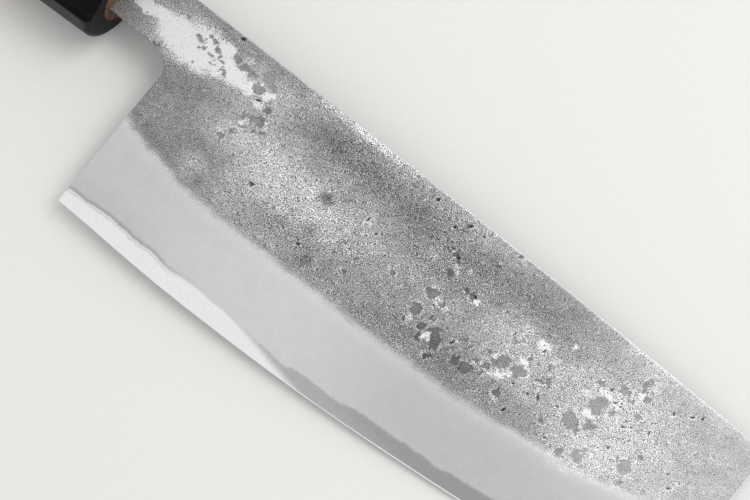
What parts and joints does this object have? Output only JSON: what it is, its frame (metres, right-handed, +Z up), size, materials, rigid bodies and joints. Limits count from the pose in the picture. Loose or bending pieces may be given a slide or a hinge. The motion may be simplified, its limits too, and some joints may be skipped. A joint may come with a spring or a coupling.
{
  "type": "nakiri knife",
  "caption": "Straight-spined nakiri vegetable knife with a laminated forged blade, a dark horn ferrule and a ridged oval magnolia handle.",
  "frame": {"origin": "middle of the knife's footprint on the surface it lies on", "axes": "+X towards the tip, +Y towards the spine, +Z up out of the right side of the blade; the knife lies on its left side, resting on the ferrule's front rim and on the toe"},
  "size_m": [0.3136, 0.0616, 0.0284],
  "materials": {
    "core_steel": "satin",
    "soft_iron": "satin",
    "horn": "gloss",
    "magnolia": "matte",
    "resin": "matte"
  },
  "bodies": {
    "root": {"blade_core": "core_steel", "left_cladding": "soft_iron", "right_cladding": "soft_iron", "ferrule": "horn", "handle": "magnolia", "tang_packing": "resin"}
  },
  "joints": []
}
